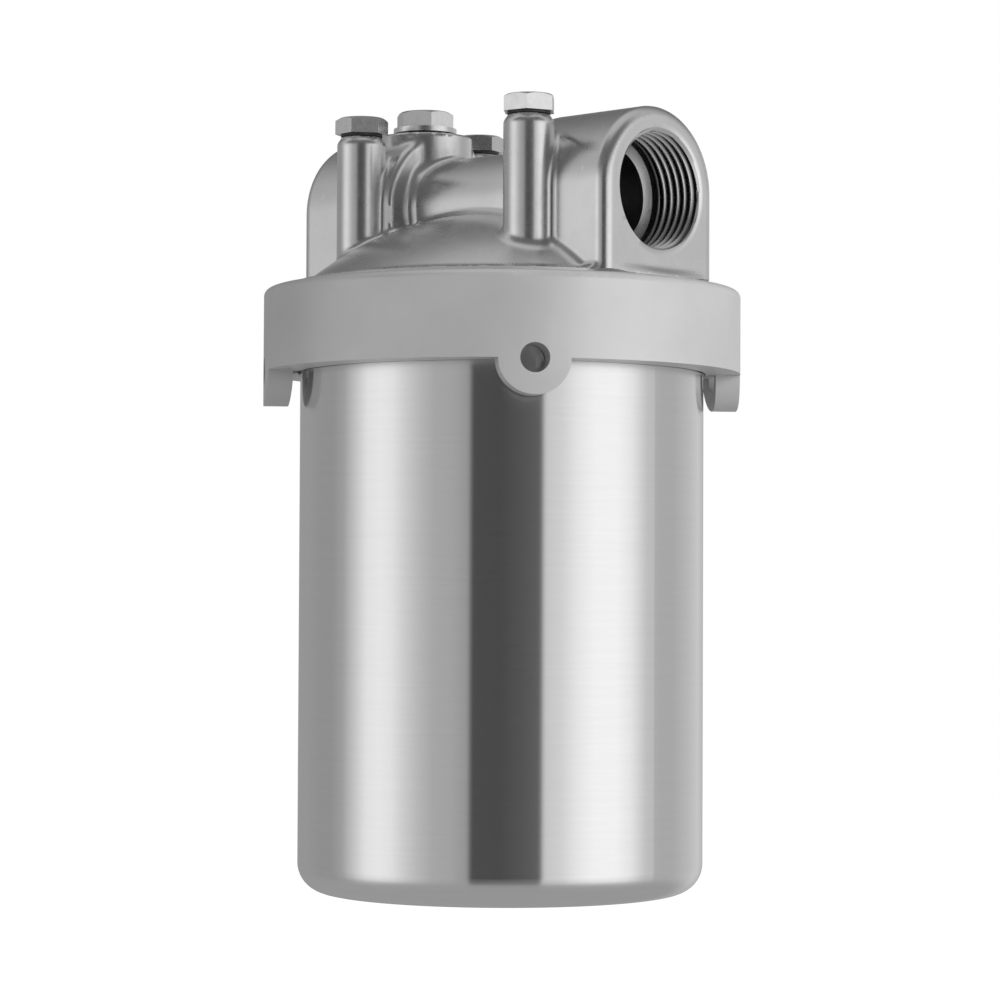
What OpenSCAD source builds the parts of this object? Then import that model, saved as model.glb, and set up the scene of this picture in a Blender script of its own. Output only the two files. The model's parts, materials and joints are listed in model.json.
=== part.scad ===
// Inline filter housing: a cast head with two ports, a ring nut with four lugs,
// a drawn sump and a pleated cartridge held against the head by a spring.
// Millimetres. Z is up, the ports lie on X and the sump stands on z = 0.

/* [Sump] */
// Outer radius of the sump wall
sump_r = 55; // [52:0.5:58]
// Room for the spring below the spring seat
spring_room = 19.2; // [16:0.1:26]
// Thickness of the drawn sheet
sump_wall = 1.5; // [1:0.1:2]
// Outer radius of the rounded bottom edge
sump_corner_r = 8; // [5:0.5:14]
// Width of the flange beyond the wall
flange_w = 2.4; // [2:0.1:3]
// Thickness of the flange
flange_t = 1.6; // [1.2:0.1:2.4]

/* [Ring nut] */
// Wall of the ring outside its thread
ring_wall = 7; // [5.5:0.1:9]
// Height of the ring
ring_h = 22.6; // [20:0.1:26]
// Radius of the rounded top edge
ring_edge_r = 2; // [1:0.1:5]
// Thickness of the inner lip that lifts the sump
lip_t = 4; // [3:0.1:6]
// Thickness of the thrust washer on the lip
thrust_t = 0.8; // [0.5:0.1:1.2]
// Radius of a lug
lug_r = 9.4; // [8:0.1:11]
// Thickness of a lug along the ring's radius
lug_t = 6.6; // [6:0.1:8.5]
// Radius of the hole in a lug
lug_hole_r = 3.85; // [2.5:0.05:5]
// Angle from the port axis to the first lug
lug_angle = 50.8; // [0:0.1:90]

/* [Head] */
// Height of the straight rim above the ring
rim_h = 1.4; // [1.4:0.1:4]
// Width of the flat step between the rim and the dome
rim_w = 3.7; // [2:0.1:5]
// Rise of the dome above its rim
dome_rise = 20; // [18:0.5:21]
// Wall of the dome and of the skirt behind the thread
head_wall = 6; // [4.5:0.1:7.5]
// Depth of the pilot that enters the sump
pilot_h = 9.3; // [8:0.1:12]
// Height of the port axis above the rim
port_rise = 22.1; // [21:0.1:23]
// Radius of the rounded top of a port block
block_r = 22; // [20:0.1:24]
// Step from the head's thread in to a port face
face_step = 1; // [0.5:0.1:2]
// Length of a port block along its axis
block_l = 34.9; // [33:0.1:36]
// Radius of the rounded edges of a port block
block_edge_r = 3; // [1:0.1:4]
// Gap between the foot of a port block and the ring
foot_gap = 1.2; // [0.8:0.1:1.2]
// Radius of the barrel between the port blocks
barrel_r = 14.2; // [12.5:0.1:15]

/* [Ports] */
// Major radius of the port thread
port_major_r = 16.62; // [13:0.01:17]
// Depth of the port thread's ridges
port_ridge = 1.48; // [1:0.01:1.6]
// Pitch of the port thread
port_pitch = 2.309; // [1.8:0.001:2.5]
// Number of turns of the port thread
port_turns = 5; // [4:1:6]
// Length of the plain run-out behind the port thread
port_runout = 2.7; // [2:0.1:3]
// Radius of the bore behind the thread
port_bore_r = 12.5; // [11:0.1:13.5]
// Radius of the outlet passage
outlet_r = 9.5; // [8:0.1:10.5]
// Radius of the inlet's way down to the sump
drop_r = 9.5; // [8:0.1:10]
// Distance from the middle of the head to the inlet's way down
drop_x = 26; // [25:0.1:28]

/* [Columns and plugs] */
// Distance of a column from the middle, along the ports
column_x = 31.4; // [30:0.1:33]
// Distance of a column from the middle, across the ports
column_y = 23.4; // [22.5:0.1:25]
// Radius of a column
column_r = 6.7; // [6:0.1:7.5]
// Depth of a column's top below the ridge of the port blocks
column_drop = 2.5; // [1:0.1:5]
// Height of the chamfer on a column
column_chamfer_h = 2; // [0.5:0.1:3]
// Width of the chamfer on a column
column_chamfer_w = 1.3; // [0.5:0.1:1.4]
// Width of a plug's hexagon across its flats
plug_af = 12.7; // [12:0.1:14]
// Height of a plug's head
plug_head_h = 4.5; // [3.5:0.1:6]
// Radius of a plug's thread
plug_r = 4.5; // [4:0.1:4.6]
// Length of a plug's thread
plug_l = 8; // [6:0.1:10]
// Thickness of a seal washer
washer_t = 0.6; // [0.5:0.1:1.5]
// Width of a seal washer's band
washer_w = 1.1; // [0.8:0.1:1.3]
// Radius of the drilled way under a plug
drill_r = 2; // [1:0.1:2.5]

/* [Bypass valve] */
// Distance of the valve from the middle of the head
valve_x = 30; // [29:0.1:31]
// Radius of the boss around the cap
boss_r = 8.5; // [8:0.1:9.5]
// Height of the boss above the block's ridge
boss_rise = 0.3; // [0.2:0.1:2]
// Radius of the shoulder under the boss
shoulder_r = 13.2; // [12:0.1:14]
// Depth of the shoulder's top below the block's ridge
shoulder_drop = 0.4; // [0.2:0.1:1]
// Width of the cap's hexagon across its flats
cap_af = 14.3; // [13:0.1:15]
// Height of the cap's hexagon
cap_hex_h = 4.6; // [4:0.1:6]
// Radius of the cap's flange
cap_flange_r = 8.8; // [8.2:0.1:9]
// Thickness of the cap's flange
cap_flange_t = 1.4; // [1:0.1:2]
// Radius of the cap's thread
cap_r = 6; // [5.8:0.1:6.3]
// Length of the cap below its flange
cap_l = 15.4; // [14:0.1:16]
// Thickness of the cap's washer
cap_washer_t = 0.4; // [0.3:0.1:1]
// Wall around the cap's spring pocket
cap_wall = 1.3; // [1:0.1:1.5]
// Depth of the cap's spring pocket
pocket_h = 7; // [6:0.1:8]
// Radius of the hole in the valve seat
seat_hole_r = 4; // [3.4:0.1:4.4]
// Height of the valve seat
seat_h = 8; // [7:0.1:9]
// Radius of the valve's guide stem
stem_r = 2; // [1.5:0.1:2.2]
// Thickness of the valve's disc
valve_disc_t = 2; // [1.5:0.1:2.5]
// Travel of the valve
valve_lift = 4; // [2:0.1:4.5]
// Radius of the valve spring's wire
valve_wire_r = 0.45; // [0.3:0.05:0.5]
// Turns of the valve spring
valve_turns = 6; // [4:1:8]

/* [Cartridge] */
// Outer radius of the cartridge
cart_r = 31.75; // [30:0.25:35]
// Length of the cartridge with its gaskets
cart_l = 127; // [122:0.5:130]
// Radius of the cartridge's open core
core_r = 14; // [13.5:0.1:15]
// Wall of the core tube
core_wall = 1.4; // [1:0.1:2]
// Wall of the outer cage
cage_wall = 1.35; // [1:0.05:1.8]
// Thickness of an end cap
end_cap_t = 4; // [3:0.1:6]
// Thickness of an end gasket
gasket_t = 3; // [2:0.1:4]
// Width of an end gasket's band
gasket_w = 7; // [6:0.1:8]
// Number of pleats
pleats = 36; // [24:2:44]
// Depth of the paper across a fold
pleat_fold = 6; // [5:0.1:6.5]
// Rows of windows in the cage and the core
window_rows = 5; // [3:1:7]
// Windows across the cage and the core in each row
window_pairs = 6; // [4:1:8]
// Width of a cage window
window_w = 10; // [8:0.5:11]
// Width of a core window
core_window_w = 4.5; // [3:0.1:5]
// Height of the ribs between the windows
rib_h = 4; // [3:0.5:6]

/* [Spigot and spring] */
// Length of the spigot below the sealing face
spigot_l = 12; // [8:0.5:16]
// Wall of the spigot
spigot_wall = 4; // [3.5:0.1:4.5]
// Radius of the spigot's thread
spigot_thread_r = 11; // [10:0.1:11.5]
// Length of the spigot's thread
spigot_thread_l = 9; // [6:0.5:12]
// Wall of the head's stub around the spigot's thread
stub_wall = 3; // [2.5:0.1:4]
// Thickness of the head's sealing disc
seal_disc_t = 5; // [4:0.1:7]
// Height of the sealing disc above the sump's flange
seal_disc_z = 2.7; // [2:0.1:5]
// Radius of the spring's coil
spring_r = 17; // [14:0.5:19]
// Radius of the spring's wire
spring_wire_r = 1.2; // [0.8:0.1:1.4]
// Turns of the spring
spring_turns = 5; // [4:1:6]
// Thickness of the spring seat
spring_seat_t = 2; // [1.5:0.1:3]

/* [O-ring] */
// Height of the O-ring's groove
o_ring_h = 3.2; // [2.6:0.1:3.6]
// Depth of the O-ring's groove
o_ring_d = 2.2; // [1.8:0.1:2.6]
// Depth of the groove's upper side below the sump's flange
o_ring_z = 2.6; // [2:0.1:3]

/* [Clearances] */
// Gap between the pilot and the sump
pilot_gap = 0.3; // [0.2:0.05:0.5]
// Gap between the O-ring and the sump
o_ring_gap = 0.05; // [0.02:0.01:0.09]
// Gap between the ring's lip and the sump
lip_gap = 0.6; // [0.4:0.1:1]
// Gap between the ring's bore and the head's thread
thread_gap = 0.3; // [0.2:0.05:0.5]
// Step from the sump's flange out to the head's thread
flange_step = 0.3; // [0.2:0.05:0.6]
// Gap around a plug's thread
plug_gap = 0.08; // [0.02:0.01:0.1]
// Gap around the valve's stem
stem_gap = 0.08; // [0.02:0.01:0.1]
// Gap between the valve's disc and its chamber
valve_gap = 0.5; // [0.3:0.1:0.8]
// Gap between the valve's nose and its seat
nose_gap = 0.6; // [0.4:0.1:1]
// Gap between the valve spring and its pocket
pocket_gap = 0.2; // [0.1:0.05:0.4]
// Gap between the cartridge spring and the collar inside it
collar_gap = 0.5; // [0.3:0.1:1]
// Gap between the pleats and the tubes beside them
media_gap = 0.3; // [0.2:0.05:0.5]
// Gap around the spigot inside the cartridge
spigot_gap = 1; // [0.5:0.05:1.3]

/* [Hidden] */
$fn = 96;
cut = 1;
half_turn = 180;
full_turn = 360;
quarter_turn = 90;

// Sump, ring and thread, from the sump's wall outwards
sump_h = sump_wall + spring_room + spring_seat_t + cart_l - seal_disc_z;
sump_bore_r = sump_r - sump_wall;
flange_r = sump_r + flange_w;
thread_r = flange_r + flange_step;
ring_bore_r = thread_r + thread_gap;
ring_r = ring_bore_r + ring_wall;
lip_bore_r = sump_r + lip_gap;
thrust_z = sump_h - flange_t - thrust_t;
ring_z = thrust_z - lip_t;
ring_top_z = ring_z + ring_h;
lug_foot_z = ring_z - lug_r - cut;
lug_count = 4;
lug_turns = [for (i = [0 : lug_count - 1]) lug_angle + i * full_turn / lug_count];

// Head
rim_z = ring_top_z + rim_h;
apex_z = rim_z + dome_rise;
dome_edge_r = thread_r - rim_w;
dome_r = (dome_edge_r * dome_edge_r + dome_rise * dome_rise) / (2 * dome_rise);
dome_z = apex_z - dome_r;
pilot_r = sump_bore_r - pilot_gap;
pilot_z = sump_h - pilot_h;
groove_z = sump_h - o_ring_z - o_ring_h;
o_ring_r = (sump_bore_r - o_ring_gap - pilot_r + o_ring_d) / 2;
cavity_r = pilot_r - head_wall;
port_z = rim_z + port_rise;
ridge_z = port_z + block_r;
face_x = thread_r - face_step;
block_x = face_x - block_l;
block_foot_z = ring_top_z + foot_gap;
stub_top_z = apex_z - head_wall / 2;

// Ports
port_minor_r = port_major_r - port_ridge;
port_crest = port_pitch / 6;
thread_start_x = face_x - port_ridge;
port_floor_x = thread_start_x - port_turns * port_pitch - port_runout;
outlet_step_l = 3;

// Columns and plugs
column_z = ridge_z - column_drop;
plug_z = column_z + washer_t;
plug_hole_r = plug_r + plug_gap;
plug_hole_room = 2;
plug_hole_l = plug_l + plug_hole_room;
hex_slope = tan(60);
hex_top_share = 0.95;
front_left_turn = 53.3;
rear_left_turn = 43.3;
rear_right_turn = 12;
bleed_turn = 8.8;
cap_turn = 26.8;

// Bypass valve, from its seat to the cap above it
boss_z = ridge_z + boss_rise;
cap_z = boss_z + cap_washer_t;
cap_washer_r = boss_r - cap_washer_t;
cap_foot_z = cap_z - cap_l;
pocket_z = cap_foot_z + pocket_h;
pocket_r = cap_r - cap_wall;
seat_rise = 1;
seat_top_z = port_z - outlet_r + seat_rise;
seat_z = seat_top_z - seat_h;
poppet_seal_t = 1;
poppet_r = cap_r - valve_gap;
poppet_z = seat_top_z + poppet_seal_t;
poppet_top_z = poppet_z + valve_disc_t;
poppet_nose_r = seat_hole_r - nose_gap;
poppet_nose_l = 4;
stem_reach = 1;
stem_room = 0.5;
stem_top_z = pocket_z + stem_reach;
guide_top_z = stem_top_z + valve_lift + stem_room;
valve_spring_r = pocket_r - valve_wire_r - pocket_gap;

// Cartridge, hung from the head's sealing disc
cart_top_z = sump_h + seal_disc_z;
cart_z = cart_top_z - cart_l;
media_z = cart_z + gasket_t + end_cap_t;
media_top_z = cart_top_z - gasket_t - end_cap_t;
media_l = media_top_z - media_z;
core_out_r = core_r + core_wall;
cage_in_r = cart_r - cage_wall;
pleat_tip_r = cage_in_r - media_gap;
pleat_valley_r = core_out_r + media_gap;
gasket_step = 0.5;
gasket_in_r = core_r + gasket_step;
gasket_r = gasket_in_r + gasket_w;
spigot_r = core_r - spigot_gap;
spigot_bore_r = spigot_r - spigot_wall;
spigot_z = cart_top_z - spigot_l;
spigot_top_z = cart_top_z + spigot_thread_l;
stub_r = spigot_thread_r + stub_wall;
spring_top_z = cart_z - spring_seat_t;
collar_r = spring_r - spring_wire_r - collar_gap;
collar_wall = 1.5;
collar_h = 4;

// Corners of a star with n tips
function star(n, tip_r, valley_r) = [
    for (i = [0 : 2 * n - 1])
        let (a = i * half_turn / n, r = i % 2 == 0 ? tip_r : valley_r)
        [r * cos(a), r * sin(a)]
];

// Height of a coil's wire after t turns, with closed end turns
function coil_rise(t, turns, rise, wire_d) =
    t < 1 ? t * wire_d
    : t > turns - 1 ? rise - (turns - t) * wire_d
    : wire_d + (t - 1) * (rise - 2 * wire_d) / (turns - 2);

module post(r, z, top) {
    translate([0, 0, z]) cylinder(r = r, h = top - z);
}

module tube(r_out, r_in, z, top) {
    difference() {
        post(r_out, z, top);
        post(r_in, z - cut, top + cut);
    }
}

// Half section of a disc whose upper outer edge is rounded
module disc_profile(r, h, edge_r) {
    square([r, h - edge_r]);
    square([r - edge_r, h]);
    translate([r - edge_r, h - edge_r]) circle(r = edge_r);
}

// Half section of a cup's outside, with a rounded lower edge
module cup_profile(r, h, corner_r) {
    square([r - corner_r, h]);
    translate([0, corner_r]) square([r, h - corner_r]);
    translate([r - corner_r, corner_r]) circle(r = corner_r);
}

module coil(r, wire_r, z, top, turns) {
    steps = 24;
    sides = 8;
    rings = turns * steps;
    rise = top - z - 2 * wire_r;
    points = [
        for (i = [0 : rings], k = [0 : sides - 1])
            let (a = i * full_turn / steps, b = k * full_turn / sides)
            let (ring_z = z + wire_r + coil_rise(i / steps, turns, rise, 2 * wire_r))
            [(r + wire_r * cos(b)) * cos(a), (r + wire_r * cos(b)) * sin(a), ring_z + wire_r * sin(b)]
    ];
    sides_faces = [
        for (i = [0 : rings - 1], k = [0 : sides - 1])
            let (k2 = (k + 1) % sides, low = i * sides, high = (i + 1) * sides)
            each [[low + k, low + k2, high + k2], [low + k, high + k2, high + k]]
    ];
    first_face = [for (k = [sides - 1 : -1 : 0]) k];
    last_face = [for (k = [0 : sides - 1]) rings * sides + k];
    polyhedron(points, concat(sides_faces, [first_face, last_face]));
}

// Hexagon with its upper corners chamfered
module hex_head(af, h) {
    top_r = hex_top_share * af / 2;
    intersection() {
        cylinder(d = af / cos(half_turn / 6), h = h, $fn = 6);
        cylinder(r1 = top_r + h * hex_slope, r2 = top_r, h = h);
    }
}

module at_column(side_x, side_y) {
    translate([side_x * column_x, side_y * column_y, 0]) children();
}

module at_valve() {
    translate([-valve_x, 0, 0]) children();
}

// Turns what is built along +Z about the port axis, to point along X
module along_port(side) {
    translate([0, 0, port_z]) rotate([0, side * quarter_turn, 0]) children();
}

module sump() {
    color("silver") rotate_extrude() {
        difference() {
            cup_profile(sump_r, sump_h, sump_corner_r);
            translate([0, sump_wall]) cup_profile(sump_bore_r, sump_h, sump_corner_r - sump_wall);
        }
        translate([sump_bore_r, sump_h - flange_t]) square([sump_wall + flange_w, flange_t]);
    }
}

// Cylinders across the ring's wall, one for each lug
module at_lugs(r, start_r) {
    for (turn = lug_turns)
        rotate(turn) translate([start_r, 0, ring_z])
            rotate([0, quarter_turn, 0]) cylinder(r = r, h = ring_r + 2 * cut - start_r);
}

module ring_nut() {
    color("lightgray") difference() {
        intersection() {
            translate([0, 0, lug_foot_z]) rotate_extrude()
                disc_profile(ring_r, ring_top_z - lug_foot_z, ring_edge_r);
            union() {
                post(ring_r + cut, ring_z, ring_top_z + cut);
                at_lugs(lug_r, sump_r / 2);
            }
        }
        post(ring_r - lug_t, lug_foot_z - cut, ring_z);
        post(lip_bore_r, ring_z - cut, ring_top_z + cut);
        post(ring_bore_r, thrust_z, ring_top_z + cut);
        at_lugs(lug_hole_r, sump_r - cut);
    }
}

module thrust_washer() {
    color("white") tube(flange_r, lip_bore_r, thrust_z, thrust_z + thrust_t);
}

// Port block on the +X side: an arch about the port axis over a straight foot
module port_block() {
    along_port(1) translate([0, 0, block_x]) rotate(quarter_turn) rotate_extrude(angle = half_turn)
        disc_profile(block_r, block_l, block_edge_r);
    translate([0, 0, block_foot_z]) linear_extrude(port_z - block_foot_z) translate([block_x, 0])
        for (side = [0, 1])
            mirror([0, side]) rotate(-quarter_turn) mirror([1, 0]) disc_profile(block_r, block_l, block_edge_r);
}

module column() {
    post(column_r, rim_z, column_z - column_chamfer_h);
    translate([0, 0, column_z - column_chamfer_h])
        cylinder(r1 = column_r, r2 = column_r - column_chamfer_w, h = column_chamfer_h);
}

module head_outside() {
    post(thread_r, sump_h, rim_z);
    intersection() {
        post(thread_r, rim_z - cut, apex_z + cut);
        translate([0, 0, dome_z]) sphere(r = dome_r, $fn = 192);
    }
    post(pilot_r, pilot_z, sump_h);
    for (side = [0, 1])
        mirror([side, 0, 0]) port_block();
    along_port(1) translate([0, 0, -block_x - cut]) cylinder(r = barrel_r, h = 2 * (block_x + cut));
    for (side_x = [-1, 1], side_y = [-1, 1])
        at_column(side_x, side_y) column();
    at_valve() post(shoulder_r, rim_z, ridge_z - shoulder_drop);
    at_valve() post(boss_r, port_z, boss_z);
}

module head_cavity() {
    intersection() {
        post(cavity_r, pilot_z - cut, apex_z);
        translate([0, 0, dome_z]) sphere(r = dome_r - head_wall, $fn = 192);
    }
}

// Half section of the threaded mouth, from the face to the shoulder
module port_section() {
    polygon(concat(
        [[0, face_x + cut], [port_major_r + cut, face_x + cut], [port_minor_r, thread_start_x]],
        [
            for (i = [0 : port_turns - 1])
                let (x = thread_start_x - i * port_pitch)
                each [
                    [port_minor_r, x - port_crest],
                    [port_major_r, x - (port_pitch + port_crest) / 2],
                    [port_minor_r, x - port_pitch]
                ]
        ],
        [[port_minor_r, port_floor_x], [0, port_floor_x]]
    ));
}

module inlet_way() {
    along_port(1) rotate_extrude() port_section();
    along_port(1) translate([0, 0, drop_x]) cylinder(r = port_bore_r, h = port_floor_x - drop_x + cut);
    translate([drop_x, 0, 0]) post(drop_r, rim_z, port_z);
}

module outlet_way() {
    along_port(-1) rotate_extrude() port_section();
    along_port(-1) translate([0, 0, port_floor_x - outlet_step_l])
        cylinder(r = port_bore_r, h = outlet_step_l + cut);
    along_port(-1) cylinder(r = outlet_r, h = port_floor_x);
    post(spigot_bore_r, cart_top_z - cut, port_z);
    post(spigot_thread_r, cart_top_z - cut, spigot_top_z);
}

module head_casting() {
    color("darkgray") difference() {
        union() {
            difference() {
                head_outside();
                head_cavity();
            }
            post(gasket_r, cart_top_z, cart_top_z + seal_disc_t);
            post(stub_r, cart_top_z, stub_top_z);
            at_valve() post(boss_r, seat_z, port_z);
        }
        inlet_way();
        outlet_way();
        at_valve() post(cap_r, seat_z - cut, seat_top_z + cut);
        at_valve() post(cap_r + plug_gap, port_z, boss_z + cut);
        for (side_x = [-1, 1], side_y = [-1, 1])
            at_column(side_x, side_y) {
                post(plug_hole_r, column_z - plug_hole_l, column_z + cut);
                post(drill_r, sump_h, column_z);
            }
        tube(pilot_r + cut, pilot_r - o_ring_d, groove_z, groove_z + o_ring_h);
    }
}

module bowl_o_ring() {
    color("dimgray") translate([0, 0, groove_z + o_ring_h / 2]) rotate_extrude()
        translate([pilot_r - o_ring_d + o_ring_r, 0]) circle(r = o_ring_r);
}

module cartridge_spigot() {
    color("gray") difference() {
        union() {
            post(spigot_r, spigot_z, cart_top_z);
            post(spigot_thread_r, spigot_z, spigot_top_z);
        }
        post(spigot_bore_r, spigot_z - cut, spigot_top_z + cut);
    }
}

module plug(tint, side_x, side_y, turn) {
    color(tint) at_column(side_x, side_y) {
        translate([0, 0, plug_z]) rotate(turn) hex_head(plug_af, plug_head_h);
        post(plug_r, column_z - plug_l, plug_z);
    }
}

module plug_washer(side_x, side_y) {
    color("dimgray") at_column(side_x, side_y)
        tube(plug_hole_r + washer_w, plug_hole_r, column_z, plug_z);
}

module bypass_cap() {
    color("gainsboro") at_valve() difference() {
        union() {
            post(cap_r, cap_foot_z, cap_z);
            post(cap_flange_r, cap_z, cap_z + cap_flange_t);
            translate([0, 0, cap_z + cap_flange_t]) rotate(cap_turn) hex_head(cap_af, cap_hex_h);
        }
        post(pocket_r, cap_foot_z - cut, pocket_z);
        post(stem_r + stem_gap, cap_foot_z, guide_top_z);
    }
}

module bypass_cap_washer() {
    color("dimgray") at_valve() tube(cap_washer_r, cap_r + plug_gap, boss_z, cap_z);
}

module bypass_seat() {
    color("silver") at_valve() tube(cap_r, seat_hole_r, seat_z, seat_top_z);
}

module bypass_spring() {
    color("slategray") at_valve() coil(valve_spring_r, valve_wire_r, poppet_top_z, pocket_z, valve_turns);
}

module bypass_poppet() {
    color("goldenrod") at_valve() {
        post(poppet_nose_r, seat_top_z - poppet_nose_l, poppet_z);
        post(poppet_r, poppet_z, poppet_top_z);
        post(stem_r, poppet_top_z, stem_top_z);
    }
}

module poppet_seal() {
    color("dimgray") at_valve() tube(poppet_r, poppet_nose_r, seat_top_z, poppet_z);
}

module cartridge_spring() {
    color("slategray") coil(spring_r, spring_wire_r, sump_wall, spring_top_z, spring_turns);
}

module spring_seat() {
    color("silver") {
        post(gasket_r, spring_top_z, cart_z);
        post(spigot_r, spring_top_z, media_z);
        tube(collar_r, collar_r - collar_wall, spring_top_z - collar_h, cart_z);
    }
}

module gasket(z) {
    color("dimgray") tube(gasket_r, gasket_in_r, z, z + gasket_t);
}

module end_cap(z) {
    color("ivory") tube(cart_r, core_r, z, z + end_cap_t);
}

module pleated_media() {
    color("wheat") translate([0, 0, media_z]) linear_extrude(media_l) difference() {
        polygon(star(pleats, pleat_tip_r, pleat_valley_r + pleat_fold));
        polygon(star(pleats, pleat_tip_r - pleat_fold, pleat_valley_r));
    }
}

module windowed_tube(r_out, r_in, width) {
    row_h = (media_l - rib_h) / window_rows;
    difference() {
        tube(r_out, r_in, media_z, media_top_z);
        for (row = [0 : window_rows - 1], pair = [0 : window_pairs - 1])
            rotate(pair * half_turn / window_pairs)
                translate([-r_out - cut, -width / 2, media_z + rib_h + row * row_h])
                    cube([2 * (r_out + cut), width, row_h - rib_h]);
    }
}

module core_tube() {
    color("ivory") windowed_tube(core_out_r, core_r, core_window_w);
}

module outer_cage() {
    color("ivory") windowed_tube(cart_r, cage_in_r, window_w);
}

head_casting();
cartridge_spigot();
bowl_o_ring();
plug("gray", -1, -1, front_left_turn);  // front_left_plug
plug_washer(-1, -1);  // front_left_washer
plug("silver", -1, 1, rear_left_turn);  // rear_left_plug
plug_washer(-1, 1);  // rear_left_washer
plug("silver", 1, 1, rear_right_turn);  // rear_right_plug
plug_washer(1, 1);  // rear_right_washer
plug("gainsboro", 1, -1, bleed_turn);  // bleed_plug
plug_washer(1, -1);  // bleed_washer
bypass_cap();
bypass_cap_washer();
bypass_seat();
bypass_spring();
bypass_poppet();
poppet_seal();
ring_nut();
thrust_washer();
sump();
cartridge_spring();
spring_seat();
gasket(cart_top_z - gasket_t);  // top_gasket
end_cap(media_top_z);  // top_end_cap
pleated_media();
core_tube();
outer_cage();
end_cap(media_z - end_cap_t);  // bottom_end_cap
gasket(cart_z);  // bottom_gasket
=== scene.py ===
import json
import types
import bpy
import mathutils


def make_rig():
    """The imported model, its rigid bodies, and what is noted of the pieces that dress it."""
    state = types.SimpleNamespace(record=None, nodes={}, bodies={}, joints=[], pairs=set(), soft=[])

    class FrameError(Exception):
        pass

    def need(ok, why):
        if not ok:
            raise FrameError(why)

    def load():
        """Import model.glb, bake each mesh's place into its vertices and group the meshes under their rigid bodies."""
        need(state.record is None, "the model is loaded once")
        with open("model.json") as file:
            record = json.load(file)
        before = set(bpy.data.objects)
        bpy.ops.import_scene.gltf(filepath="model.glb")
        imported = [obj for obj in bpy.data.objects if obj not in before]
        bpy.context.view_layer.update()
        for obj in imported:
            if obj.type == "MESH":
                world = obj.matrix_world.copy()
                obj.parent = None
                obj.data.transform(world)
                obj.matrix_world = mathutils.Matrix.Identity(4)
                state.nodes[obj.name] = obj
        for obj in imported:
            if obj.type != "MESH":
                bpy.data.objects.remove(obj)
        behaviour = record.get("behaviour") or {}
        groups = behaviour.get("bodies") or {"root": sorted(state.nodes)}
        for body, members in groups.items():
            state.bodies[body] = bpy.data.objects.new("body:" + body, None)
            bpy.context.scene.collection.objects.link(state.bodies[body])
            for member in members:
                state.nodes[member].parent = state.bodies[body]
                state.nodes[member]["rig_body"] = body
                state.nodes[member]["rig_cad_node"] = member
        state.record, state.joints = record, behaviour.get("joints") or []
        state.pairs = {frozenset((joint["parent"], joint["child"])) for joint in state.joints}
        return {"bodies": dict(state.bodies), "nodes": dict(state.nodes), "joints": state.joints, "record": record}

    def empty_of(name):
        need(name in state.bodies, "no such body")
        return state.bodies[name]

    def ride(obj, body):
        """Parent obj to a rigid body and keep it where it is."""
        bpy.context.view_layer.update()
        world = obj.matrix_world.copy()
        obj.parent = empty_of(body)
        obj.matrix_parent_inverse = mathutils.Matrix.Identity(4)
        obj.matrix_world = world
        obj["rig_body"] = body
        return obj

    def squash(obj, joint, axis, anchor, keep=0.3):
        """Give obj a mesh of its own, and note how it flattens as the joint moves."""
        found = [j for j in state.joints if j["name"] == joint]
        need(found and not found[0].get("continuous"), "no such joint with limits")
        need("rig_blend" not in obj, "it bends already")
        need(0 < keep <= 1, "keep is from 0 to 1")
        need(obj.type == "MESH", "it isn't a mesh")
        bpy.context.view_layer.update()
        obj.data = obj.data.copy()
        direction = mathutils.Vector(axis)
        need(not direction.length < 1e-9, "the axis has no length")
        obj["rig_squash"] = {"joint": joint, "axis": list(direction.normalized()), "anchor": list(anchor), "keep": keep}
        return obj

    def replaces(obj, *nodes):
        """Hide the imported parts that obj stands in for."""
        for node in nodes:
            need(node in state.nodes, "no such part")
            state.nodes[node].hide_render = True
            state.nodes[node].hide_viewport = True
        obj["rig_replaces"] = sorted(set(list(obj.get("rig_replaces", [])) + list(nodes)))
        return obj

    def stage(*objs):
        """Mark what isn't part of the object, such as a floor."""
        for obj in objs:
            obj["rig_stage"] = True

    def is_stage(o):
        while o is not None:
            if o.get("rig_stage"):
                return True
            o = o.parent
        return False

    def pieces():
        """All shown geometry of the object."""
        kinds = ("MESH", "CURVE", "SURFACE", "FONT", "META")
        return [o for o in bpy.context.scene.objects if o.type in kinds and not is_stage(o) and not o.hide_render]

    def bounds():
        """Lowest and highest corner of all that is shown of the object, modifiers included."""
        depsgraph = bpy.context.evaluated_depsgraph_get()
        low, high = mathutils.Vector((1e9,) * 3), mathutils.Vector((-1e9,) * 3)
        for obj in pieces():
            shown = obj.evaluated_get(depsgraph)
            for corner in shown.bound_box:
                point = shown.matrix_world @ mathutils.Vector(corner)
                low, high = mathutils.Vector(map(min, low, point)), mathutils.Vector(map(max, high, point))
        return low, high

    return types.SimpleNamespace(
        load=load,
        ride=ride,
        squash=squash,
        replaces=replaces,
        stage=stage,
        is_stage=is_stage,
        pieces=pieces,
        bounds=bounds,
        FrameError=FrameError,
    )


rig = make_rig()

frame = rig.load()

import math

import bmesh
import bpy
import numpy as np
from mathutils import Matrix, Vector

cad_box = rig.bounds()
nodes = frame["nodes"]
MM = 0.001

# A filter housing. Most pieces are the CAD model's, with materials. The cast head, the port threads
# and the two springs are made here.

# Sizes in millimetres, taken from the CAD model. R is a radius, Z a height and X a place on the
# port axis, from the sump's bottom centre.

# Cover and rim
PORT_Z = 186.7
RIM_Z = 164.6
RIM_R = 57.7
SUMP_TOP_Z = 147.0
APEX_Z = 184.6
DOME_R = 82.9
HEAD_WALL = 6.0
PILOT_R = 53.2
PILOT_Z = 137.7
GROOVE_Z = (141.2, 144.4)
GROOVE_R = 51.0

# Port blocks and the barrel between them
BLOCK_R = 22.0
BLOCK_X = 21.8
FACE_X = 56.7
FOOT_Z = 164.4
BARREL_R = 14.2

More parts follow.
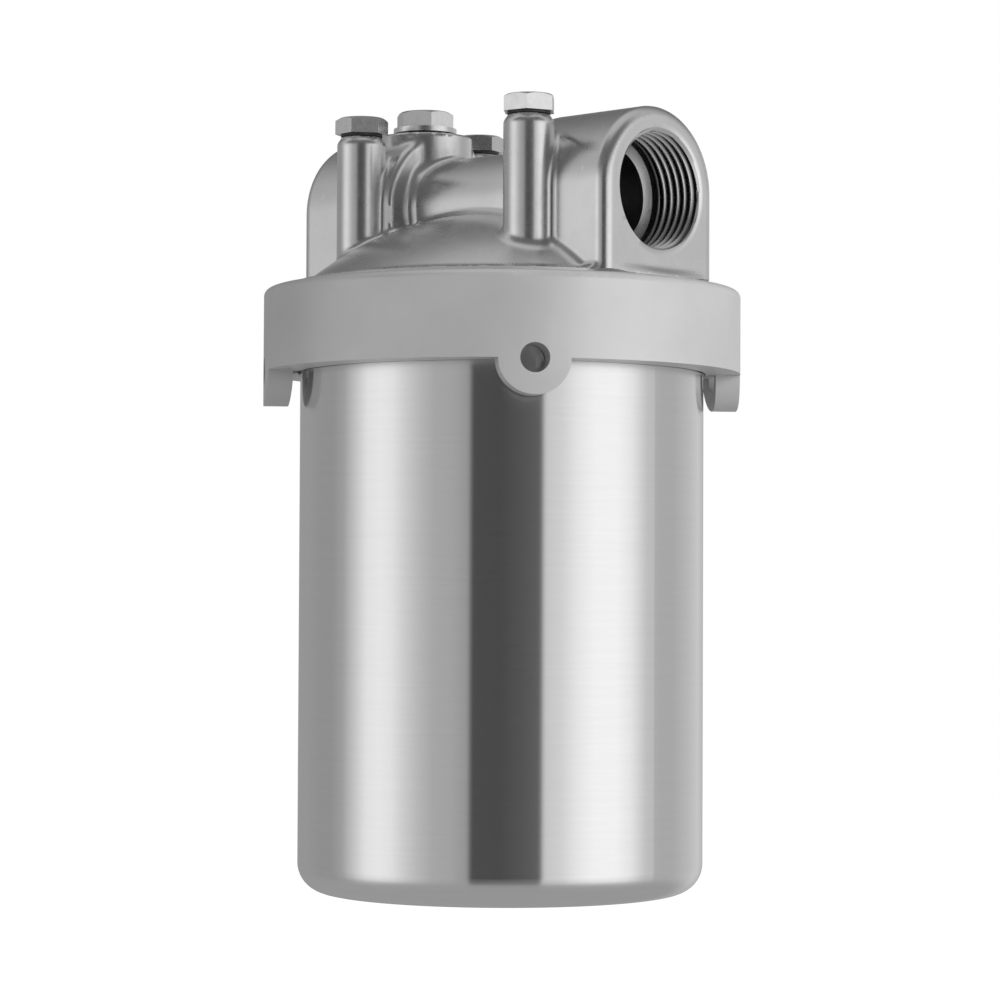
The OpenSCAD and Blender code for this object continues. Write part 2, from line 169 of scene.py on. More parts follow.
# Columns and their plug holes
COLUMN = (31.4, 23.4)
COLUMN_R = 6.7
COLUMN_Z = 206.2
COLUMN_CHAMFER = (1.3, 2.0)
PLUG_HOLE_R = 4.58
PLUG_HOLE_Z = 196.2
DRILL_R = 2.0

# Bypass valve, under its boss
VALVE_X = -30.0
BOSS_R = 8.5
BOSS_Z = 209.0
SHOULDER_R = 13.2
SHOULDER_Z = 208.3
SEAT_Z = 170.2
SEAT_TOP_Z = 178.2
CAP_R = 6.0

# Ports and the ways from them
PORT_FLOOR_X = 40.975
PORT_BORE_R = 12.5
OUTLET_R = 9.5
DROP_X = 26.0
DROP_R = 9.5

# Seat of the cartridge and its spigot
SPIGOT_BORE_R = 9.0
SPIGOT_THREAD_R = 11.0
CART_TOP_Z = 149.7
SPIGOT_TOP_Z = 158.7
STUB_R = 14.0
STUB_TOP_Z = 181.6
DISC_R = 21.5
DISC_TOP_Z = 154.7

# Port threads. The liner is the sleeve that they are cut in. The CAD model has no liner, no wide
# mouth and no tilted floor.
THREAD_MAJOR_R = 16.62
THREAD_MINOR_R = 15.14
THREAD_PITCH = 2.309
LINER_R = 17.7
MOUTH_R = 16.2
FLOOR_TILT = math.radians(20)


# Camera, fitted to the photograph

CAMERA_TURN = math.radians(43.335)
CAMERA_LIFT = math.radians(-1.826)
CAMERA_ROLL = math.radians(0.245)
CAMERA_FAR = 0.8643
CAMERA_SENSOR = 36.0
CAMERA_LENS = 113.97
CAMERA_SHIFT = (-0.0014, -0.0042)
CAMERA_CLIP = (0.01, 50.0)
LOOK_AT = Vector((0.0, 0.0, 0.1075))
CAMERA_POLAR = CAMERA_TURN - math.pi / 2


def add_camera():
    """The photograph's camera, turned about the upright axis, lifted and rolled."""
    cos_t, sin_t = math.cos(CAMERA_TURN), math.sin(CAMERA_TURN)
    cos_e, sin_e = math.cos(CAMERA_LIFT), math.sin(CAMERA_LIFT)
    cos_r, sin_r = math.cos(CAMERA_ROLL), math.sin(CAMERA_ROLL)
    back = Vector((sin_t * cos_e, -cos_t * cos_e, sin_e))
    level = Vector((cos_t, sin_t, 0.0))
    up = back.cross(level)
    right = cos_r * level + sin_r * up
    top = cos_r * up - sin_r * level
    data = bpy.data.cameras.new("camera")
    data.sensor_width = CAMERA_SENSOR
    data.lens = CAMERA_LENS
    data.shift_x, data.shift_y = CAMERA_SHIFT
    data.clip_start, data.clip_end = CAMERA_CLIP
    camera = bpy.data.objects.new("camera", data)
    matrix = Matrix((right, top, back)).transposed().to_4x4()
    matrix.translation = LOOK_AT + CAMERA_FAR * back
    camera.matrix_world = matrix
    bpy.context.scene.collection.objects.link(camera)
    bpy.context.scene.camera = camera
    bpy.context.scene.view_settings.view_transform = "Standard"


# Node trees

class Tree:
    """Short calls for building the node tree of a material or world."""

    def __init__(self, owner):
        owner.use_nodes = True
        self.tree = owner.node_tree
        self.tree.nodes.clear()

    def add(self, kind, inputs=None, **settings):
        """A node, with values or other nodes' sockets on its inputs."""
        node = self.tree.nodes.new(kind)
        for key, value in settings.items():
            setattr(node, key, value)
        for key, value in (inputs or {}).items():
            self.put(node.inputs[key], value)
        return node

    def put(self, socket, value):
        """Links a socket, or sets a plain value."""
        if isinstance(value, bpy.types.NodeSocket):
            self.tree.links.new(value, socket)
        else:
            socket.default_value = value

    def math(self, operation, a, b=0.0, c=0.0):
        node = self.add("ShaderNodeMath", {0: a, 1: b, 2: c}, operation=operation)
        return node.outputs[0]

    def mix(self, factor, a, b):
        """Mixes two colours."""
        node = self.add("ShaderNodeMix", data_type="RGBA")
        self.put(node.inputs["Factor"], factor)
        self.put(node.inputs[6], a)
        self.put(node.inputs[7], b)
        return node.outputs[2]

    def ramp(self, factor, stops):
        """A grey ramp through (position, level) stops."""
        node = self.add("ShaderNodeValToRGB", {"Fac": factor})
        elements = node.color_ramp.elements
        while len(elements) > 1:
            elements.remove(elements[-1])
        elements[0].position = stops[0][0]
        for position, _ in stops[1:]:
            elements.new(position)
        for element, (_, level) in zip(elements, stops):
            element.color = (level, level, level, 1.0)
        return node.outputs["Color"]

    def span(self, value, low, high, out_low=0.0, out_high=1.0, smooth=False):
        """Carries low to high over to out_low to out_high, and stops there."""
        kind = "SMOOTHSTEP" if smooth else "LINEAR"
        keys = {"Value": value, "From Min": low, "From Max": high,
                "To Min": out_low, "To Max": out_high}
        return self.add("ShaderNodeMapRange", keys, interpolation_type=kind).outputs[0]


def grey(level):
    return (level, level, level, 1.0)


# Studio: the levels that polished metal reflects. BANDS goes by the reflected direction's turn from
# the camera's side, in degrees, with plus to the camera's right. CEILING goes by how far a high
# direction leans to the camera's side, from -1 to 1.

BANDS = [
    (-180, 0.31), (-142, 0.33), (-122, 0.31), (-110, 0.31), (-100, 0.38), (-90, 0.62),
    (-81, 0.86), (-72, 0.92), (-64, 0.87), (-55, 0.68), (-46, 0.53), (-38, 0.44), (-27, 0.41),
    (-18.5, 0.34), (-16, 0.068), (0, 0.065), (12, 0.09), (22, 0.12), (24.5, 0.64), (34, 0.73),
    (44, 0.92), (54, 1.03), (68, 1.03), (78, 0.90), (90, 0.59), (102, 0.44), (114, 0.44),
    (130, 0.52), (150, 0.62), (165, 0.50), (180, 0.31),
]
CEILING = [
    (-1.0, 0.13), (-0.8, 0.16), (-0.6, 0.21), (-0.45, 0.30), (-0.15, 0.50), (0.05, 0.52),
    (0.25, 0.16), (1.0, 0.13),
]
ZENITH = 0.52
FLOOR_GLOSS = 0.34
# Heights of the reflected direction over which the bands turn into the others
CEILING_FADE = (0.16, 0.50)
ZENITH_FADE = (0.80, 0.96)
FLOOR_FADE = (-0.20, -0.55)
# What matt surfaces get from all sides
DAYLIGHT = 0.76
# The floor, and the share of plain white that the camera sees in it
FLOOR_Z = -0.28
FLOOR_SIZE = 4.0
FLOOR_PAINT = 0.8
FLOOR_WHITE = 1.1
FLOOR_WHITE_SHARE = 0.86
# The lamp, from the camera's side
LAMP_TURN = math.radians(55)
LAMP_LIFT = math.radians(14)
LAMP_FAR = 1.6
LAMP_SIZE = 0.9
LAMP_POWER = 25.0


def add_world():
    """White to the camera, plain daylight to matt surfaces and the bands to polished ones."""
    world = bpy.data.worlds.new("studio")
    bpy.context.scene.world = world
    world.cycles.sampling_method = "NONE"
    t = Tree(world)
    direction = t.add("ShaderNodeTexCoord").outputs["Generated"]
    turned = t.add("ShaderNodeVectorRotate", {"Vector": direction, "Angle": -CAMERA_POLAR},
                   rotation_type="Z_AXIS")
    axes = t.add("ShaderNodeSeparateXYZ", {0: turned.outputs[0]})
    angle = t.math("ARCTAN2", axes.outputs[1], axes.outputs[0])
    around = t.math("MULTIPLY_ADD", angle, 0.5 / math.pi, 0.5)
    bands = t.ramp(around, [(turn / 360 + 0.5, level) for turn, level in BANDS])
    height = axes.outputs[2]
    high = t.span(height, *CEILING_FADE, smooth=True)
    low = t.span(height, *FLOOR_FADE, smooth=True)
    ahead = t.span(axes.outputs[0], -1.0, 1.0)
    ceiling = t.ramp(ahead, [((front + 1) / 2, level) for front, level in CEILING])
    ceiling = t.mix(t.span(height, *ZENITH_FADE, smooth=True), ceiling, grey(ZENITH))
    gloss = t.mix(low, t.mix(high, bands, ceiling), grey(FLOOR_GLOSS))
    path = t.add("ShaderNodeLightPath")
    seen = t.math("MAXIMUM", path.outputs["Is Camera Ray"], path.outputs["Is Transmission Ray"])
    light = t.mix(path.outputs["Is Glossy Ray"], grey(DAYLIGHT), gloss)
    colour = t.mix(seen, light, grey(1.0))
    shader = t.add("ShaderNodeBackground", {"Color": colour, "Strength": 1.0})
    t.add("ShaderNodeOutputWorld", {"Surface": shader.outputs[0]})


def add_lamp():
    """A soft lamp at the camera's right, for what isn't polished."""
    turn = CAMERA_TURN + LAMP_TURN
    level = math.cos(LAMP_LIFT)
    away = Vector((math.sin(turn) * level, -math.cos(turn) * level, math.sin(LAMP_LIFT)))
    data = bpy.data.lights.new("lamp", "AREA")
    data.shape = "DISK"
    data.size = LAMP_SIZE
    data.energy = LAMP_POWER
    lamp = bpy.data.objects.new("lamp", data)
    lamp.matrix_world = away.to_track_quat("Z", "Y").to_matrix().to_4x4()
    lamp.matrix_world.translation = LOOK_AT + LAMP_FAR * away
    lamp.visible_glossy = False
    lamp.visible_camera = False
    bpy.context.scene.collection.objects.link(lamp)


def add_floor():
    """A pale floor, far enough under the housing for the sump to come down."""
    mesh = bpy.data.meshes.new("floor")
    signs = ((-1, -1), (1, -1), (1, 1), (-1, 1))
    corners = [(x * FLOOR_SIZE, y * FLOOR_SIZE, FLOOR_Z) for x, y in signs]
    mesh.from_pydata(corners, [], [(0, 1, 2, 3)])
    floor = bpy.data.objects.new("floor", mesh)
    bpy.context.scene.collection.objects.link(floor)
    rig.stage(floor)
    material = bpy.data.materials.new("floor")
    t = Tree(material)
    paint = t.add("ShaderNodeBsdfDiffuse", {"Color": grey(FLOOR_PAINT)})
    white = t.add("ShaderNodeEmission", {"Color": grey(1.0), "Strength": FLOOR_WHITE})
    path = t.add("ShaderNodeLightPath")
    seen = t.math("MAXIMUM", path.outputs["Is Camera Ray"], path.outputs["Is Transmission Ray"])
    share = t.math("MULTIPLY", seen, FLOOR_WHITE_SHARE)
    shader = t.add("ShaderNodeMixShader", {0: share, 1: paint.outputs[0], 2: white.outputs[0]})
    t.add("ShaderNodeOutputMaterial", {"Surface": shader.outputs[0]})
    floor.visible_glossy = False
    mesh.materials.append(material)


# Materials. colour, roughness and bump are functions that add their nodes to the material's tree:
# varied(low, high, per metre), rough(low, high, per metre) and grain(per metre, height, strength).

def principled(name, colour, metallic, roughness, bump=None, **sockets):
    """A Principled material. sockets holds plain values for its other inputs."""
    material = bpy.data.materials.new(name)
    t = Tree(material)
    shader = t.add("ShaderNodeBsdfPrincipled", {"Metallic": metallic})
    place = t.add("ShaderNodeTexCoord").outputs["Object"]
    for key, value in (("Base Color", colour), ("Roughness", roughness)):
        t.put(shader.inputs[key], value(t, place))
    if bump:
        height, distance, strength = bump(t, place)
        keys = {"Height": height, "Distance": distance, "Strength": strength}
        t.put(shader.inputs["Normal"], t.add("ShaderNodeBump", keys).outputs[0])
    for key, value in sockets.items():
        shader.inputs[key.replace("_", " ")].default_value = value
    t.add("ShaderNodeOutputMaterial", {"Surface": shader.outputs[0]})
    return material


EVEN = (1.0, 1.0, 1.0)
# The middle part of the noise, which is spread over a whole range
NOISE_SPAN = (0.3, 0.7)


def noise(t, place, per_metre, detail, stretch):
    scaled = t.add("ShaderNodeMapping", {"Vector": place, "Scale": stretch}).outputs[0]
    keys = {"Vector": scaled, "Scale": per_metre, "Detail": detail}
    return t.add("ShaderNodeTexNoise", keys).outputs[0]


def varied(level_low, level_high, per_metre, tint=EVEN, stretch=EVEN):
    """A colour that wanders between two levels."""
    def build(t, place):
        low = tuple(level_low * c for c in tint) + (1.0,)
        high = tuple(level_high * c for c in tint) + (1.0,)
        return t.mix(t.span(noise(t, place, per_metre, 4.0, stretch), *NOISE_SPAN), low, high)
    return build


def rough(low, high, per_metre, stretch=EVEN):
    """A roughness that wanders between two values."""
    def build(t, place):
        return t.span(noise(t, place, per_metre, 3.0, stretch), *NOISE_SPAN, low, high)
    return build


def grain(per_metre, distance, strength, stretch=EVEN):
    """A fine bump, with its height in metres."""
    def build(t, place):
        return noise(t, place, per_metre, 4.0, stretch), distance, strength
    return build


# The cut thread's tones, with painted shade in its grooves and on its run-out, and how far in from crest, face and
# floor the painted shade changes, in millimetres
CREST_LEVEL = 0.88
GROOVE_SHADE_LEVEL = 0.14
GROOVE_SHADE_FADE = (0.1, 0.9)
MOUTH_SHADE_FADE = (0.5, 0.9)
RUNOUT_SHADE_FADE = (2.6, 2.0)


def thread_painted_shade(t, place):
    """Painted shade in the port threads: their own bright tone on the thread tops, and a low shaded tone in the grooves
    and on the run-out near the floor, where shade falls.
    """
    axes = t.add("ShaderNodeSeparateXYZ", {0: place})
    along = t.math("ABSOLUTE", axes.outputs[0])
    across = axes.outputs[1]
    up = t.math("SUBTRACT", axes.outputs[2], PORT_Z * MM)
    square = t.math("ADD", t.math("MULTIPLY", across, across), t.math("MULTIPLY", up, up))
    r = t.math("SQRT", square)
    groove_shade = t.span(r, *((THREAD_MINOR_R + out) * MM for out in GROOVE_SHADE_FADE))
    inside = t.span(along, *((FACE_X - down) * MM for down in MOUTH_SHADE_FADE))
    runout_shade = t.span(along, *((PORT_FLOOR_X + off) * MM for off in RUNOUT_SHADE_FADE))
    # painted shade: grooves and run-out are coloured in a low tone, as if in shade
    painted_shade = t.math("MAXIMUM", t.math("MULTIPLY", groove_shade, inside), runout_shade)
    return t.mix(painted_shade, grey(CREST_LEVEL), grey(GROOVE_SHADE_LEVEL))


# How much closer together the pattern lies along the upright axis
TURNED_STRETCH = (1.0, 1.0, 120.0)
DRAWN_STRETCH = (1.0, 1.0, 20.0)
DRAWN_ROUGH_STRETCH = (1.0, 1.0, 30.0)


def make_materials():
    return {
        "cast": principled("cast_aluminium", varied(0.76, 0.82, 60), 1.0, rough(0.23, 0.28, 300),
                           grain(1400, 0.0001, 0.10)),
        # painted shade: a low grey aluminium for the faces inside the ports, where shade falls
        "bore": principled("bore_painted_shade", varied(0.22, 0.30, 90), 1.0,
                           rough(0.40, 0.50, 500), grain(2500, 0.00004, 0.06)),
        # The thread material carries painted shade in its grooves and on its run-out.
        "thread": principled("cut_thread_painted_shade", thread_painted_shade, 1.0, rough(0.22, 0.28, 500)),
        "machined": principled("machined_aluminium", varied(0.84, 0.90, 90), 1.0,
                               rough(0.26, 0.32, 500), grain(2500, 0.00004, 0.06)),
        "ring": principled("satin_aluminium", varied(0.48, 0.52, 60), 0.5,
                           rough(0.40, 0.45, 400, TURNED_STRETCH),
                           grain(300, 0.00003, 0.05, TURNED_STRETCH)),
        "sump": principled("drawn_steel", varied(0.87, 0.89, 40, stretch=DRAWN_STRETCH), 1.0,
                           rough(0.125, 0.145, 120, DRAWN_ROUGH_STRETCH),
                           Anisotropic=1.0, Anisotropic_Rotation=0.25),
        "zinc": principled("zinc_plated_steel", varied(0.80, 0.87, 250), 1.0,
                           rough(0.24, 0.30, 600), grain(1500, 0.00002, 0.015)),
        "steel": principled("turned_steel", varied(0.55, 0.65, 150), 1.0,
                            rough(0.25, 0.35, 500), grain(2500, 0.00003, 0.06)),
        "spring": principled("spring_steel", varied(0.30, 0.42, 400, (1.0, 1.0, 1.05)), 1.0,
                             rough(0.28, 0.40, 900), grain(3000, 0.00003, 0.1)),
        "brass": principled("brass", varied(0.62, 0.74, 300, (1.0, 0.80, 0.46)), 1.0,
                            rough(0.22, 0.32, 600), grain(3000, 0.00002, 0.05)),
        "rubber": principled("black_rubber", varied(0.020, 0.035, 500), 0.0, rough(0.50, 0.65, 900),
                             grain(3500, 0.00005, 0.15)),
        "acetal": principled("white_acetal", varied(0.66, 0.72, 200, (1.0, 0.99, 0.96)), 0.0,
                             rough(0.35, 0.45, 600), grain(2500, 0.00003, 0.06)),
        "plastic": principled("ivory_plastic", varied(0.58, 0.66, 180, (1.0, 0.97, 0.88)), 0.0,
                              rough(0.40, 0.50, 700), grain(2500, 0.00004, 0.08)),
        "paper": principled("filter_paper", varied(0.52, 0.66, 900, (1.0, 0.90, 0.70)), 0.0,
                            rough(0.80, 0.95, 900), grain(5000, 0.0001, 0.35)),
    }


NODE_MATERIALS = {
    "cast": ["head_casting"],
    "ring": ["ring_nut"],
    "sump": ["sump"],
    "zinc": ["front_left_plug", "rear_left_plug", "rear_right_plug", "bleed_plug",
             "bypass_cap"],
    "steel": ["cartridge_spigot", "bypass_seat", "spring_seat"],
    "spring": ["bypass_spring", "cartridge_spring"],
    "brass": ["bypass_poppet"],
    "rubber": ["bowl_o_ring", "front_left_washer", "rear_left_washer", "rear_right_washer",
               "bleed_washer", "bypass_cap_washer", "poppet_seal", "top_gasket",
               "bottom_gasket"],
    "acetal": ["thrust_washer"],
    "plastic": ["top_end_cap", "bottom_end_cap", "core_tube", "outer_cage"],
    "paper": ["pleated_media"],
}


def dress_nodes(materials):
    """Gives every CAD node its material."""
    for kind, names in NODE_MATERIALS.items():
        for name in names:
            mesh = nodes[name].data
            mesh.materials.clear()
            mesh.materials.append(materials[kind])


# Signed distances, in millimetres, on arrays of points. They are negative inside a shape.

# Fillets where the head's forms meet
RIM_FILLET = 1.2
BARREL_FILLET = 3.0
SHOULDER_FILLET = 1.5
BOSS_FILLET = 1.0
BLOCK_FILLET = 2.2
COLUMN_FILLET = 2.0
INNER_FILLET = 1.2
# Rounded edges
FACE_EDGE = 3.0
INLET_BLOCK_EDGE = 4.0
OUTLET_BLOCK_EDGE = 1.8
HOLLOW_EDGE = 2.0
SHOULDER_EDGE = 0.8
TURNED_EDGE = 0.4
FINE_EDGE = 0.3
# How far shapes run into each other, and how far cuts run out of the head
LAP = 1.0
BARREL_LAP = 2.0
CLEAR = 5.0
COLUMN_FOOT_Z = 160.0
OUTLET_BORE_DEPTH = 3.0
# How far the thread sleeves sink into the head, and the gap round the cap
LINER_LAP = 0.05
CAP_GAP = 0.08


def hypot(a, b):
    return np.sqrt(a * a + b * b)


def corner(a, b):
    """Distance from the intersection of two shapes, also true past the edge where they meet."""
    return np.minimum(np.maximum(a, b), 0.0) + hypot(np.maximum(a, 0.0), np.maximum(b, 0.0))


def eased(a, b, r):
    """Intersection with its edge rounded to radius r."""
    return corner(a + r, b + r) - r


def fillet(a, b, r):
    """Union with a concave fillet of radius r where the two meet."""
    return np.maximum(r, np.minimum(a, b)) - hypot(np.maximum(r - a, 0.0), np.maximum(r - b, 0.0))


def post(p, at, r, low, high, edge=0.0):
    """Upright cylinder, with its edges rounded."""
    wall = hypot(p[0] - at[0], p[1] - at[1]) - r
    ends = np.abs(p[2] - (low + high) / 2) - (high - low) / 2
    return eased(wall, ends, edge)


def lying(p, r, low, high):
    """Cylinder about the port axis."""
    wall = hypot(p[1], p[2] - PORT_Z) - r
    ends = np.abs(p[0] - (low + high) / 2) - (high - low) / 2
    return corner(wall, ends)


def dome(p, inset=0.0):
    """The ball whose top is the cover."""
    return hypot(hypot(p[0], p[1]), p[2] - (APEX_Z - DOME_R)) - (DOME_R - inset)


def blocks(p):
    """Both port blocks: an arch over straight sides, rounded at the face and at the inner end."""
    x = np.abs(p[0])
    arch = np.where(p[2] > PORT_Z, hypot(p[1], p[2] - PORT_Z), np.abs(p[1])) - BLOCK_R
    outer = eased(arch, x - FACE_X, FACE_EDGE)
    inner = eased(arch, BLOCK_X - x, np.where(p[0] > 0, INLET_BLOCK_EDGE, OUTLET_BLOCK_EDGE))
    shape = np.where(x > (FACE_X + BLOCK_X) / 2, outer, inner)
    return np.maximum(shape, FOOT_Z - p[2])


def columns(p):
    """The four columns, with chamfered tops."""
    x, y = np.abs(p[0]), np.abs(p[1])
    out = hypot(x - COLUMN[0], y - COLUMN[1])
    width, height = COLUMN_CHAMFER
    slope = math.hypot(width, height)
    cone = ((out - COLUMN_R) * height + (p[2] - COLUMN_Z + height) * width) / slope
    shape = eased(corner(out - COLUMN_R, p[2] - COLUMN_Z), cone, FINE_EDGE)
    return np.maximum(shape, COLUMN_FOOT_Z - p[2])


def floor_cone(p):
    """The shallow cone at the bottom of both threaded holes."""
    r, x = hypot(p[1], p[2] - PORT_Z), np.abs(p[0])
    cone = math.sin(FLOOR_TILT) * (r - THREAD_MINOR_R) + math.cos(FLOOR_TILT) * (PORT_FLOOR_X - x)
    return np.maximum(cone, x - PORT_FLOOR_X - LAP)


def outer_head(p):
    """The head before its inside is cut."""
    cover = np.maximum(dome(p), RIM_Z - LAP - p[2])
    rim = post(p, (0, 0), RIM_R, SUMP_TOP_Z, RIM_Z, TURNED_EDGE)
    barrel = lying(p, BARREL_R, -BLOCK_X - BARREL_LAP, BLOCK_X + BARREL_LAP)
    shoulder = post(p, (VALVE_X, 0), SHOULDER_R, RIM_Z, SHOULDER_Z, SHOULDER_EDGE)
    boss = post(p, (VALVE_X, 0), BOSS_R, PORT_Z, BOSS_Z, FINE_EDGE)
    ports = fillet(blocks(p), barrel, BARREL_FILLET)
    ports = fillet(fillet(ports, shoulder, SHOULDER_FILLET), boss, BOSS_FILLET)
    body = fillet(fillet(cover, rim, RIM_FILLET), ports, BLOCK_FILLET)
    body = fillet(body, columns(p), COLUMN_FILLET)
    body = np.maximum(body, SUMP_TOP_Z - p[2])
    return np.minimum(body, post(p, (0, 0), PILOT_R, PILOT_Z, SUMP_TOP_Z + LAP, TURNED_EDGE))


def inner_stub(p):
    """The disc and stub over the cartridge, and the valve's seat."""
    stub = np.minimum(post(p, (0, 0), DISC_R, CART_TOP_Z, DISC_TOP_Z, TURNED_EDGE),
                      post(p, (0, 0), STUB_R, CART_TOP_Z, STUB_TOP_Z))
    return np.minimum(stub, post(p, (VALVE_X, 0), BOSS_R, SEAT_Z, PORT_Z, FINE_EDGE))


def head_cuts(p):
    """Ports, the ways between them, and the holes for the plugs, the cap and the seal."""
    liner_r = LINER_R - LINER_LAP
    floor_x = PORT_FLOOR_X
    mirrored = (np.abs(p[0]), np.abs(p[1]), p[2])
    groove = np.maximum(np.abs(p[2] - sum(GROOVE_Z) / 2) - (GROOVE_Z[1] - GROOVE_Z[0]) / 2,
                        GROOVE_R - hypot(p[0], p[1]))
    return [
        lying(p, liner_r, -FACE_X - CLEAR, -floor_x),
        lying(p, liner_r, floor_x, FACE_X + CLEAR),
        lying(p, PORT_BORE_R, -floor_x - LAP, -floor_x + OUTLET_BORE_DEPTH),
        lying(p, PORT_BORE_R, DROP_X, floor_x + LAP),
        floor_cone(p),
        lying(p, OUTLET_R, -floor_x, 0.0),
        post(p, (DROP_X, 0), DROP_R, RIM_Z, PORT_Z),
        post(p, (0, 0), SPIGOT_BORE_R, CART_TOP_Z - CLEAR, PORT_Z),
        post(p, (0, 0), SPIGOT_THREAD_R, CART_TOP_Z - CLEAR, SPIGOT_TOP_Z),
        post(p, (VALVE_X, 0), CAP_R, SEAT_Z - LAP, SEAT_TOP_Z + LAP),
        post(p, (VALVE_X, 0), CAP_R + CAP_GAP, PORT_Z, BOSS_Z + CLEAR),
        post(mirrored, COLUMN, PLUG_HOLE_R, PLUG_HOLE_Z, COLUMN_Z + CLEAR),
        post(mirrored, COLUMN, DRILL_R, RIM_Z, PLUG_HOLE_Z + LAP),
        groove,
    ]


def head_distance(p):
    """The cast head, hollow and cut out."""
    hollow_r = PILOT_R - HEAD_WALL
    hollow = eased(dome(p, HEAD_WALL), hypot(p[0], p[1]) - hollow_r, HOLLOW_EDGE)
    body = np.maximum(outer_head(p), -hollow)
    body = np.where(p[2] < STUB_TOP_Z, fillet(body, inner_stub(p), INNER_FILLET), body)
    for cut in head_cuts(p):
        body = np.maximum(body, -cut)
    return body


# Dual contouring: a mesh of quads with its vertices on the sharp edges

# Halvings of a grid edge on the way to the surface
BISECTIONS = 9
# Half the distance, in millimetres, over which a slope is measured
SLOPE_REACH = 0.02
# Keeps grid planes off the flat faces of the model
GRID_SHIFT = 0.0137
# Smaller shares of the largest eigenvalue count as flat
FLAT_SHARE = 0.06
# How far a vertex may leave its cell, as a share of the cell
CELL_SLACK = 0.1
TINY = 1e-9


def sample(distance, axes):
    """Distances on the grid, a slab at a time."""
    xs, ys, zs = axes
    values = np.empty((len(xs), len(ys), len(zs)), np.float32)
    gy, gz = np.meshgrid(ys, zs, indexing="ij")
    for i, x in enumerate(xs):
        values[i] = distance((np.full_like(gy, x), gy, gz))
    return values


def crossings(distance, axes, values, axis):
    """Grid edges along one axis where the sign changes: their corner indices and surface points."""
    inside = values < 0
    first = [slice(None)] * 3
    second = [slice(None)] * 3
    first[axis] = slice(None, -1)
    second[axis] = slice(1, None)
    found = np.argwhere(inside[tuple(first)] != inside[tuple(second)])
    step = np.zeros(3, int)
    step[axis] = 1
    low = np.stack([axes[k][found[:, k]] for k in range(3)], axis=1)
    high = np.stack([axes[k][(found + step)[:, k]] for k in range(3)], axis=1)
    start_inside = inside[tuple(found.T)]
    for _ in range(BISECTIONS):
        middle = (low + high) / 2
        same = (distance(tuple(middle.T)) < 0) == start_inside
        low = np.where(same[:, None], middle, low)
        high = np.where(same[:, None], high, middle)
    return found, (low + high) / 2, start_inside


def slopes(distance, points):
    """Unit normals of the surface at points near it."""
    parts = []
    for k in range(3):
        step = np.zeros(3)
        step[k] = SLOPE_REACH
        parts.append(distance(tuple((points + step).T)) - distance(tuple((points - step).T)))
    normals = np.stack(parts, axis=1)
    return normals / np.maximum(np.linalg.norm(normals, axis=1, keepdims=True), TINY)


def settle(index, points, normals):
    """For each cell, the point nearest to all the planes that cross its edges."""
    count = np.bincount(index)
    centre = np.stack([np.bincount(index, points[:, k]) / count for k in range(3)], axis=1)
    offset = np.einsum("ij,ij->i", normals, points - centre[index])
    square = np.empty((len(count), 3, 3))
    for a in range(3):
        for b in range(3):
            square[:, a, b] = np.bincount(index, normals[:, a] * normals[:, b])
    side = np.stack([np.bincount(index, normals[:, k] * offset) for k in range(3)], axis=1)
    values, vectors = np.linalg.eigh(square)
    share = values / np.maximum(values[:, 2:], TINY)
    inverse = np.where(share > FLAT_SHARE, 1.0 / np.maximum(values, TINY), 0.0)
    along = np.einsum("nji,nj->ni", vectors, side)
    return centre + np.einsum("nij,nj->ni", vectors, inverse * along)


def contour(distance, low, high, step):
    """Vertices and quads of the surface where distance is zero."""
    axes = [np.arange(a, b + step, step) + GRID_SHIFT * (k + 1)
            for k, (a, b) in enumerate(zip(low, high))]
    values = sample(distance, axes)
    shape = values.shape
    strides = np.array([shape[1] * shape[2], shape[2], 1])
    cell_ids, cell_points, cell_normals, rings = [], [], [], []
    for axis in range(3):
        found, points, start_inside = crossings(distance, axes, values, axis)
        normals = slopes(distance, points)
        side_a, side_b = (axis + 1) % 3, (axis + 2) % 3
        around = []
        for da, db in ((0, 0), (-1, 0), (-1, -1), (0, -1)):
            cell = found.copy()
            cell[:, side_a] += da
            cell[:, side_b] += db
            around.append(cell @ strides)
            cell_ids.append(around[-1])
            cell_points.append(points)
            cell_normals.append(normals)
        ring = np.stack(around, axis=1)
        ring[~start_inside] = ring[~start_inside][:, ::-1]
        rings.append(ring)
    unique, index = np.unique(np.concatenate(cell_ids), return_inverse=True)
    settled = settle(index, np.concatenate(cell_points), np.concatenate(cell_normals))
    places = (unique // strides[0], unique // strides[1] % shape[1], unique % shape[2])
    cell_low = np.stack([axes[k][places[k]] for k in range(3)], axis=1)
    vertices = np.clip(settled, cell_low - CELL_SLACK * step,
                       cell_low + (1.0 + CELL_SLACK) * step)
    quads = np.searchsorted(unique, np.concatenate(rings))
    return vertices, quads


def mesh_object(name, vertices, faces, body, sharp):
    """A piece from millimetre vertices, smooth except at edges sharper than so many degrees."""
    mesh = bpy.data.meshes.new(name)
    mesh.from_pydata([tuple(v) for v in np.asarray(vertices) * MM], [], [tuple(f) for f in faces])
    mesh.update()
    mesh.polygons.foreach_set("use_smooth", [True] * len(mesh.polygons))
    mesh.set_sharp_from_angle(angle=math.radians(sharp))
    piece = bpy.data.objects.new(name, mesh)
    bpy.context.scene.collection.objects.link(piece)
    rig.ride(piece, body)
    return piece


# The head's grid and its corners in millimetres, and the least edge that stays sharp in degrees
HEAD_STEP = 0.7
HEAD_LOW = (-58.5, -59.0, 136.5)
HEAD_HIGH = (58.5, 59.0, 211.0)
HEAD_SHARP = 30.0
# A face lies on a plane or a cylinder when its centre is this near, in millimetres
TOUCH = 0.05
RIM_TOUCH = 0.5
BOTTOM_TOUCH = 0.1
BORE_TOUCH = 0.5
# Least share of a face's normal along the port axis
FACING = 0.98
FLOOR_FACING = 0.5
# Where the cut floor ends and the bore's wall begins, off the floor's rim
FLOOR_DEPTH = 1.4
WALL_DEPTH = 0.2
# The head's material slots; the third is painted shade for the faces inside the ports.
CAST, MACHINED, BORE_SHADE, TURNED = range(4)


